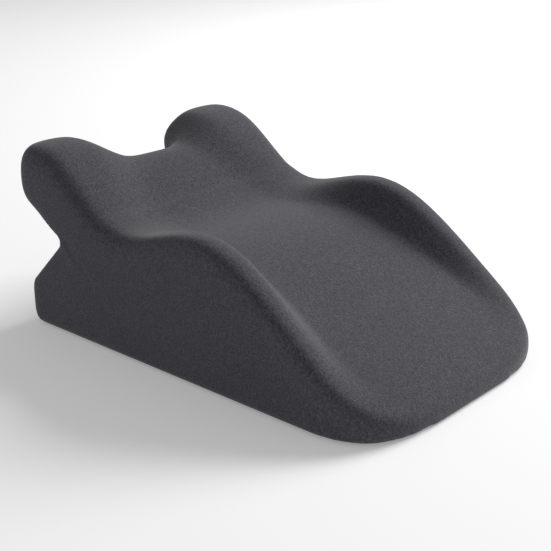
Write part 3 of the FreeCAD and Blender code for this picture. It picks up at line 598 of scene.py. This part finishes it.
def make_grip_dots():
    """Staggered rows of low rubber domes under the base."""
    pitch = 18 * MM
    row_pitch = pitch * math.sin(math.radians(60))
    dome = (2.3 * MM, 2.3 * MM, PANEL_LOW, 1.0)
    book = bmesh.new()
    rows = int((panel_high.y - panel_low.y) / row_pitch) + 1
    across = int(panel_high.x / pitch) + 1
    for row in range(rows):
        y = panel_low.y + (row + 0.4) * row_pitch
        for column in range(-across, across + 1):
            x = (column + 0.5 * (row % 2)) * pitch
            if not inside_panel(x, y, 6 * MM):
                continue
            place = Matrix.Translation((x, y, PANEL_LOW)) @ Matrix.Diagonal(dome)
            bmesh.ops.create_uvsphere(book, u_segments=16, v_segments=8, radius=1.0, matrix=place)
    mesh = bpy.data.meshes.new("grip_dots")
    book.to_mesh(mesh)
    book.free()
    for polygon in mesh.polygons:
        polygon.use_smooth = True
    dots = bpy.data.objects.new("grip_dots", mesh)
    bpy.context.scene.collection.objects.link(dots)
    dress(dots, grip_rubber)


# ------------------------------------------------------------------ zip

COIL_PITCH = 1.27 * MM
COIL_WIRE = 0.52 * MM
COIL_TURN_POINTS = 12
SPREAD = 0.8 * MM


def slot_path(grow, step, y):
    """Points round the zip slot, moved out by a distance."""
    outline = rounded_outline((-SLOT_HALF_LENGTH - grow, ZIP_Z - SLOT_HALF_HEIGHT - grow),
                              (SLOT_HALF_LENGTH + grow, ZIP_Z + SLOT_HALF_HEIGHT + grow),
                              1.5 * MM + grow, 1.5 * MM + grow, step)
    return [Vector((x, y, z)) for x, z in outline]


def make_slot_hem():
    """The folded, stitched edge of the cover round the zip."""
    hem = new_object("zip_slot_hem", *swept(slot_path(1.1 * MM, 1.5 * MM, LIP_Y - 0.1 * MM),
                                            Y_AXIS, 3.0 * MM, 1.1 * MM, 12))
    dress(hem, cover_knit)
    rows = stitches("zip_slot_stitches", slot_path(1.7 * MM, 3.0 * MM, LIP_Y + 0.38 * MM),
                    Y_AXIS, 2.2 * MM, 0.42 * MM)
    dress(rows, seam_thread)


def sheet_faces(columns, rows):
    """Faces of a thin sheet whose front grid of points comes first and its back grid second."""
    wide = columns + 1
    count = wide * (rows + 1)
    faces = []
    for row in range(rows):
        for column in range(columns):
            a = row * wide + column
            faces.append((a, a + 1, a + 1 + wide, a + wide))
    faces += [tuple(count + v for v in reversed(face)) for face in faces]
    ring = list(range(columns)) + [r * wide + columns for r in range(rows)]
    ring += [rows * wide + c for c in range(columns, 0, -1)] + [r * wide for r in range(rows, 0, -1)]
    for a, b in zip(ring, ring[1:] + ring[:1]):
        faces.append((a, b, count + b, count + a))
    return faces


def make_tape(name, side):
    """Woven tape in a shallow herringbone of raised ribs, with a corded edge by the coil."""
    low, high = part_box(name)
    columns, rows = 528, 9
    inner = low.z if side > 0 else high.z
    outer = high.z if side > 0 else low.z
    front, back = [], []
    for row in range(rows + 1):
        z = inner + (outer - inner) * row / rows
        for column in range(columns + 1):
            x = low.x + (high.x - low.x) * column / columns
            rib = 0.05 * MM * math.sin(math.pi * (column + row) / 2)
            cord = 0.08 * MM if row in (1, 2) else 0.0
            front.append((x, high.y - 0.08 * MM + rib + cord, z))
    back = [(x, low.y, z) for x, _, z in front]
    tape = new_object(name.replace("zip_tape", "woven_tape"), front + back,
                      sheet_faces(columns, rows))
    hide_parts(name)
    dress(tape, tape_weave)


def coil_shift(x):
    """How far a coil stands off the zip line, from the slider's place at rest onwards."""
    t = min(max((x - (slider_low.x + 2.75 * MM)) / (3 * MM), 0.0), 1.0)
    return SPREAD * t * t * (3 - 2 * t)


def make_coil(name, side):
    """Nylon wire wound into zip teeth; the lower coil's turns fall between the upper one's."""
    low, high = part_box(name)
    start = low.x + (0 if side > 0 else COIL_PITCH / 2)
    turns = int((high.x - COIL_PITCH / 2 - start) / COIL_PITCH)
    half_wide = 1.17 * MM
    half_thick = (high.y - low.y - COIL_WIRE) / 2
    centre_y = (low.y + high.y) / 2
    path = []
    for step in range(turns * COIL_TURN_POINTS + 1):
        turn = 2 * math.pi * step / COIL_TURN_POINTS
        x = start + COIL_PITCH * step / COIL_TURN_POINTS
        z = ZIP_Z + side * (0.95 * MM + coil_shift(x) - half_wide * math.cos(turn))
        path.append(Vector((x, centre_y + half_thick * math.sin(turn), z)))
    coil = new_object(name.replace("zip_coil", "coil_teeth"),
                      *swept(path, X_AXIS, COIL_WIRE, COIL_WIRE, 8, closed=False))
    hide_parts(name)
    dress(coil, coil_nylon)
    sewn = []
    for turn in range(turns):
        x = start + COIL_PITCH * (turn + 0.5)
        sewn.append(Vector((x, high.y - 0.1 * MM, ZIP_Z + side * (1.35 * MM + coil_shift(x)))))
    rows = stitches(name.replace("zip_coil", "coil_stitches"), sewn, Y_AXIS, 1.0 * MM, 0.3 * MM,
                    closed=False)
    dress(rows, seam_thread)


def dress_metal():
    """Round the edges of the cast pieces and paint them."""
    edges = {"zip_slider": 0.16, "zip_crown": 0.22, "zip_pull": 0.28, "zip_top_stops": 0.3,
             "zip_bottom_stop": 0.3}
    for name, width in edges.items():
        node = frame["nodes"][name]
        bevel = node.modifiers.new("rounded_edges", "BEVEL")
        bevel.width = width * MM
        bevel.segments = 3
        bevel.limit_method = "ANGLE"
        for slot in node.material_slots:
            slot.link = "OBJECT"
            slot.material = slider_paint


def make_label():
    """Blank woven label, bowed a little off the cover."""
    columns, rows = 28, 18
    thick = 0.28 * MM
    bow = 0.9 * MM
    front = []
    for row in range(rows + 1):
        v = row / rows
        z = label_low.z + (label_high.z - label_low.z) * v
        for column in range(columns + 1):
            u = column / columns
            x = label_low.x + (label_high.x - label_low.x) * u
            curl = (1 - v) ** 1.5 * (0.55 + 0.45 * math.cos(2 * math.pi * (u - 0.42)))
            front.append((x, label_low.y + thick + bow * curl, z))
    back = [(x, y - thick, z) for x, y, z in front]
    label = new_object("blank_label", front + back, sheet_faces(columns, rows))
    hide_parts("care_label")
    dress(label, label_weave)


make_cover()
make_panel()
make_grip_dots()
make_slot_hem()
for name, side in (("upper", 1), ("lower", -1)):
    make_tape("zip_tape_" + name, side)
    make_coil("zip_coil_" + name, side)
dress_metal()
make_label()


# ------------------------------------------------------------------ camera, floor and light

def place_camera():
    """A long lens from the front left, a little above."""
    azimuth = math.radians(-48.56)
    elevation = math.radians(20.04)
    distance = 619.85 * MM
    back = Vector((math.sin(azimuth) * math.cos(elevation),
                   -math.cos(azimuth) * math.cos(elevation), math.sin(elevation)))
    centre = Vector((0, 0, 40 * MM))
    place = centre + back * distance
    right = Vector((0, 0, 1)).cross(back).normalized()
    up = back.cross(right)
    aim_left, aim_down = 2.1 * MM, 4.3 * MM
    aim = centre - right * aim_left - up * aim_down
    camera = bpy.data.objects.new("camera", bpy.data.cameras.new("camera"))
    camera.data.sensor_width = 36.0
    camera.data.lens = 72.46
    camera.location = place
    camera.rotation_euler = (aim - place).to_track_quat("-Z", "Y").to_euler()
    bpy.context.scene.collection.objects.link(camera)
    bpy.context.scene.camera = camera


def area_light(name, place, aim, size, power):
    """A soft square light."""
    light = bpy.data.lights.new(name, "AREA")
    light.energy = power
    light.size = size
    lamp = bpy.data.objects.new(name, light)
    lamp.location = place
    lamp.rotation_euler = (Vector(aim) - Vector(place)).to_track_quat("-Z", "Y").to_euler()
    bpy.context.scene.collection.objects.link(lamp)


def make_stage():
    """Plain pale floor and soft studio light."""
    half = 6.0
    floor = new_object("floor", [(-half, -half, 0), (half, -half, 0), (half, half, 0),
                                 (-half, half, 0)], [(0, 1, 2, 3)])
    material, nodes, links, shader = node_material("floor")
    shader.inputs["Base Color"].default_value = (0.86, 0.86, 0.86, 1.0)
    shader.inputs["Roughness"].default_value = 0.9
    shader.inputs["Emission Color"].default_value = (1.0, 1.0, 1.0, 1.0)
    shader.inputs["Emission Strength"].default_value = 0.24
    floor.data.materials.append(material)
    world = bpy.data.worlds.new("studio")
    world.use_nodes = True
    world.node_tree.nodes["Background"].inputs["Color"].default_value = (1, 1, 1, 1)
    world.node_tree.nodes["Background"].inputs["Strength"].default_value = 0.31
    bpy.context.scene.world = world
    bpy.context.scene.view_settings.view_transform = "Standard"
    area_light("key", (1.55, -0.28, 1.10), (0, 0, 0.05), 1.0, 37)


place_camera()
make_stage()
